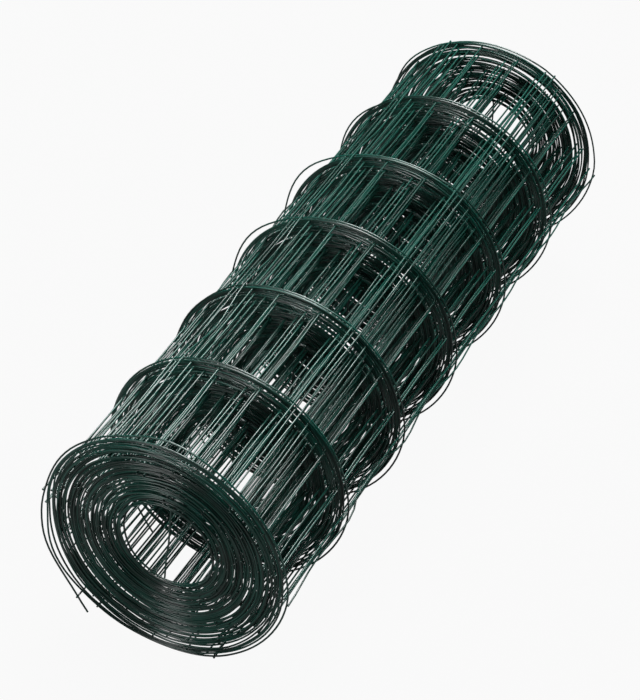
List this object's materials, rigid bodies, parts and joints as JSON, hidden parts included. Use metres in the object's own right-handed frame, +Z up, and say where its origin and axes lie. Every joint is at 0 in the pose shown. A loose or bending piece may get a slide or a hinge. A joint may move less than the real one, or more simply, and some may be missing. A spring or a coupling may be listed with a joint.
{
  "type": "roll of welded wire fencing",
  "caption": "Roll of green coated welded wire mesh fencing lying on its side, wound on itself round an open bore, with a disc of turns at each line wire and loose outer pickets across the bays.",
  "frame": {"origin": "centre of the roll's length, on the floor under the roll's axis", "axes": "+X along the roll's axis and its longest side, +Z up from the floor, +Y across the roll"},
  "size_m": [0.606, 0.1978, 0.198],
  "materials": {
    "green_coated_wire": "satin dark green plastic coating on steel wire"
  },
  "bodies": {
    "root": {"wire_mesh_roll": "green_coated_wire"}
  },
  "joints": []
}
